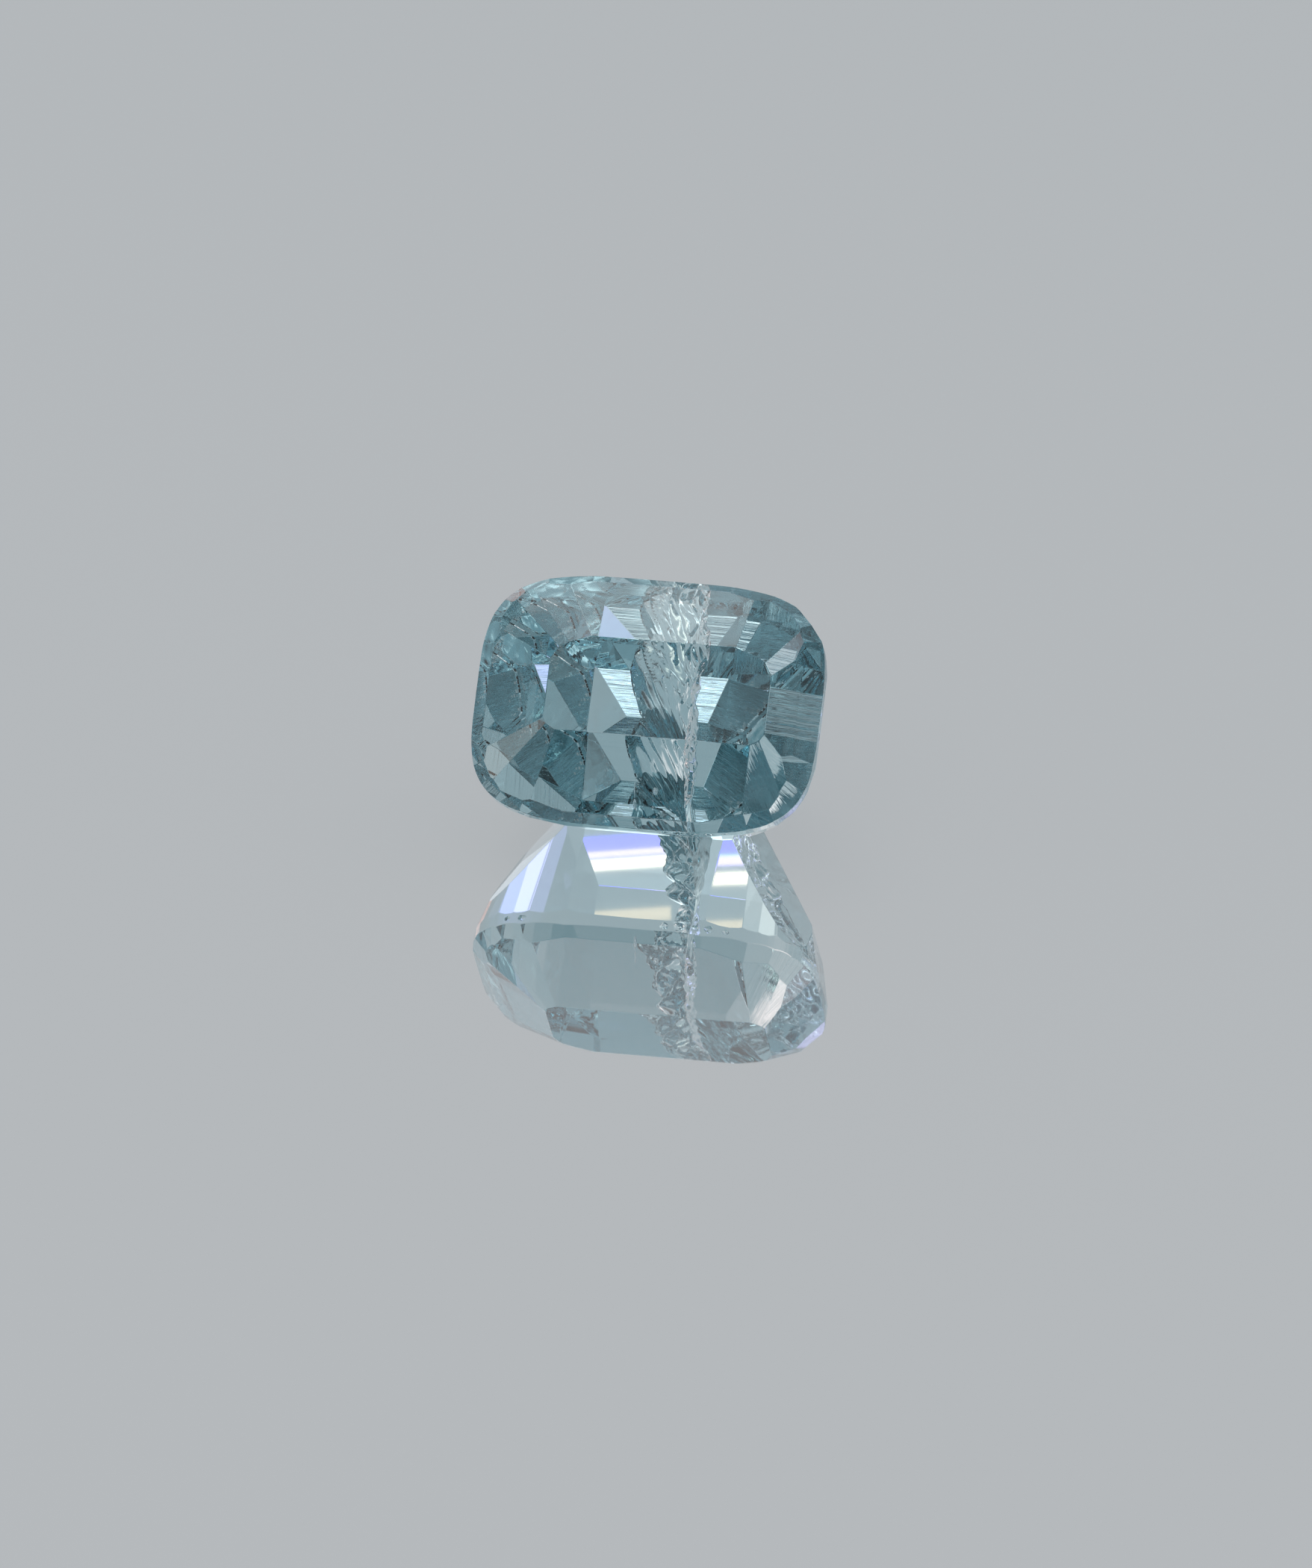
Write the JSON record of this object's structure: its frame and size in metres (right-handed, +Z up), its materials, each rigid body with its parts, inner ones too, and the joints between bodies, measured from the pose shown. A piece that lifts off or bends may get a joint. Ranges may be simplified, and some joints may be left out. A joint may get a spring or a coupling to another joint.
{
  "type": "cushion-cut tourmaline gemstone",
  "caption": "Loose faceted blue-green tourmaline, cushion outline, step-cut, deep pavilion, with an internal fracture, lying on one pavilion facet.",
  "frame": {"origin": "middle of the bounding box, on the floor plane that the stone rests on", "axes": "+X along the stone's length, +Z up from the floor, table facing up and towards -Y"},
  "size_m": [0.007, 0.006, 0.0051],
  "materials": {
    "tourmaline": "polished transparent blue-green crystal"
  },
  "bodies": {
    "root": {"cut_tourmaline": "tourmaline"}
  },
  "joints": []
}
